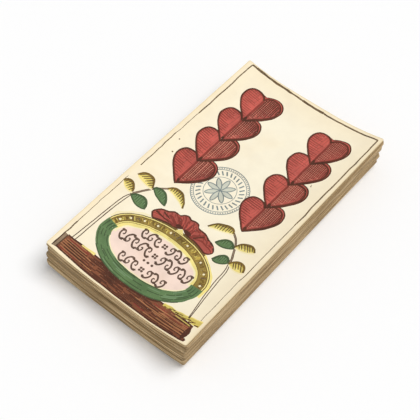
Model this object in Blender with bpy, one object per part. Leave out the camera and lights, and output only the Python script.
"""A squared-up pack of thirty-six old playing cards with German suits, cupped by age, face up.

Metres, +Z up. The origin is the middle of the bottom card's underside, on which the pack rests.
+X runs across the cards and +Y along them. Each card is one solid. Every surface bends across
the pack only, so that a card can be drawn out along +Y or -Y without touching its neighbours.
"""

import bisect
import math
import random
from typing import NamedTuple

import bmesh
import bpy

# One card
CARD_WIDTH = 0.058
CARD_LENGTH = 0.103
CARD_THICKNESS = 0.00026
CORNER_RADIUS = 0.0006
CORNER_STEPS = 3

# The cupping: flat along the middle, with the long edges raised
FLAT_WIDTH = 0.016
BOTTOM_RISE = 0.0016
TOP_RISE = 0.0028
STRIPS_PER_SIDE = 6

# How the cards lie on each other
AIR_GAP = 0.00003
SHIFT_SPREAD = 0.0001
TURN_SPREAD = math.radians(0.06)
SEED = 36


class Clump(NamedTuple):
    """Neighbouring cards that were pushed together: their lowest card, counted from 0 at the
    bottom of the pack, and how far they lie from the bottom card, across, along and turned."""

    first: int
    across: float
    along: float
    turn: float


CLUMPS = (
    Clump(first=0, across=0.0, along=0.0, turn=0.0),
    Clump(first=8, across=0.0003, along=0.0005, turn=math.radians(-0.1)),
    Clump(first=14, across=0.0001, along=0.0002, turn=math.radians(0.1)),
    Clump(first=20, across=0.0005, along=0.0009, turn=math.radians(-0.1)),
    Clump(first=29, across=0.0008, along=0.0010, turn=math.radians(0.1)),
    Clump(first=34, across=0.0006, along=0.0007, turn=math.radians(-0.15)),
    Clump(first=35, across=0.0005, along=0.0009, turn=0.0),
)

# The faces, from the top of the pack down: every ORDER_STEP-th card of the sorted pack
SUITS = ("hearts", "leaves", "acorns", "bells")
RANKS = ("six", "seven", "eight", "nine", "ten", "unter", "ober", "king", "daus")
TOP_CARD = ("hearts", "eight")
ORDER_STEP = 7

# Paper that has browned, a little more on some cards than on others
PAPER_COLOUR = (0.55, 0.42, 0.26)
PAPER_ROUGHNESS = 0.85
PAPER_SHADE_SPREAD = 0.12


def card_names():
    """The cards' names from the top of the pack down."""
    pack = [(suit, rank) for suit in SUITS for rank in RANKS]
    top = pack.index(TOP_CARD)
    order = [pack[(top + ORDER_STEP * i) % len(pack)] for i in range(len(pack))]
    return [f"card_{i:02d}_{rank}_of_{suit}" for i, (suit, rank) in enumerate(order, 1)]


def clump_of(card):
    """The number of the clump that this card belongs to."""
    return bisect.bisect_right([clump.first for clump in CLUMPS], card) - 1


def edge_rise(card):
    """How high a card's long edges stand above its middle. It grows from clump to clump."""
    share = clump_of(card) / (len(CLUMPS) - 1)
    return BOTTOM_RISE + (TOP_RISE - BOTTOM_RISE) * share


def strip_edges():
    """The places across one half of the pack where the cupped surface bends."""
    flat = FLAT_WIDTH / 2
    step = (CARD_WIDTH / 2 - flat) / STRIPS_PER_SIDE
    return [flat + step * i for i in range(STRIPS_PER_SIDE + 1)]


def cupped_height(x, rise):
    """The height of a cupped surface at x: a parabola outside the flat middle, in flat strips.
    The outermost strip runs on beyond the card's own half width."""
    places = strip_edges()
    if abs(x) <= places[0]:
        return 0.0
    outer = min(bisect.bisect_left(places, abs(x)), STRIPS_PER_SIDE)
    low, high = (rise * (i / STRIPS_PER_SIDE) ** 2 for i in (outer - 1, outer))
    share = (abs(x) - places[outer - 1]) / (places[outer] - places[outer - 1])
    return low + (high - low) * share


def card_outline(turn):
    """The card's outline, anticlockwise round the origin, with worn corners."""
    points = []
    for quarter in range(4):
        side_x = 1 if quarter in (0, 3) else -1
        side_y = 1 if quarter in (0, 1) else -1
        centre_x = side_x * (CARD_WIDTH / 2 - CORNER_RADIUS)
        centre_y = side_y * (CARD_LENGTH / 2 - CORNER_RADIUS)
        for step in range(CORNER_STEPS + 1):
            angle = (quarter + step / CORNER_STEPS) * math.pi / 2
            x = centre_x + CORNER_RADIUS * math.cos(angle)
            y = centre_y + CORNER_RADIUS * math.sin(angle)
            points.append((x, y))
    cos, sin = math.cos(turn), math.sin(turn)
    return [(x * cos - y * sin, x * sin + y * cos) for x, y in points]


def cupped_card_mesh(name, turn, across, rise):
    """A card whose surface follows the pack's cupping, seen from its own middle."""
    bm = bmesh.new()
    bm.faces.new([bm.verts.new((x, y, 0)) for x, y in card_outline(turn)])
    inner = strip_edges()[:-1]
    for place in [-x for x in inner] + inner:
        everything = bm.verts[:] + bm.edges[:] + bm.faces[:]
        bmesh.ops.bisect_plane(
            bm, geom=everything, plane_co=(place - across, 0, 0), plane_no=(1, 0, 0)
        )
    bmesh.ops.solidify(bm, geom=bm.faces[:], thickness=CARD_THICKNESS)
    lowest = min(vert.co.z for vert in bm.verts)
    for vert in bm.verts:
        vert.co.z += cupped_height(vert.co.x + across, rise) - lowest
    bmesh.ops.recalc_face_normals(bm, faces=bm.faces[:])
    mesh = bpy.data.meshes.new(name)
    bm.to_mesh(mesh)
    bm.free()
    return mesh


def paper_material(name, shade):
    material = bpy.data.materials.new(name)
    material.use_nodes = True
    shader = material.node_tree.nodes["Principled BSDF"]
    shader.inputs["Base Color"].default_value = (*(shade * c for c in PAPER_COLOUR), 1.0)
    shader.inputs["Roughness"].default_value = PAPER_ROUGHNESS
    shader.inputs["Metallic"].default_value = 0.0
    return material


def lay_card(name, card, pack, chance):
    """Adds one card to the pack, counted from 0 at the bottom."""
    clump = CLUMPS[clump_of(card)]
    across = clump.across + chance.uniform(-SHIFT_SPREAD, SHIFT_SPREAD)
    along = clump.along + chance.uniform(-SHIFT_SPREAD, SHIFT_SPREAD)
    turn = clump.turn + chance.uniform(-TURN_SPREAD, TURN_SPREAD)
    mesh = cupped_card_mesh(name, turn, across, edge_rise(card))
    shade = 1 + chance.uniform(-PAPER_SHADE_SPREAD, PAPER_SHADE_SPREAD)
    mesh.materials.append(paper_material(f"paper_of_{name}", shade))
    obj = bpy.data.objects.new(name, mesh)
    obj.location = (across, along, card * (CARD_THICKNESS + AIR_GAP))
    obj.parent = pack
    bpy.context.collection.objects.link(obj)


def main():
    for obj in list(bpy.data.objects):
        bpy.data.objects.remove(obj)
    pack = bpy.data.objects.new("pack", None)
    bpy.context.collection.objects.link(pack)
    chance = random.Random(SEED)
    for card, name in enumerate(reversed(card_names())):
        lay_card(name, card, pack, chance)


main()
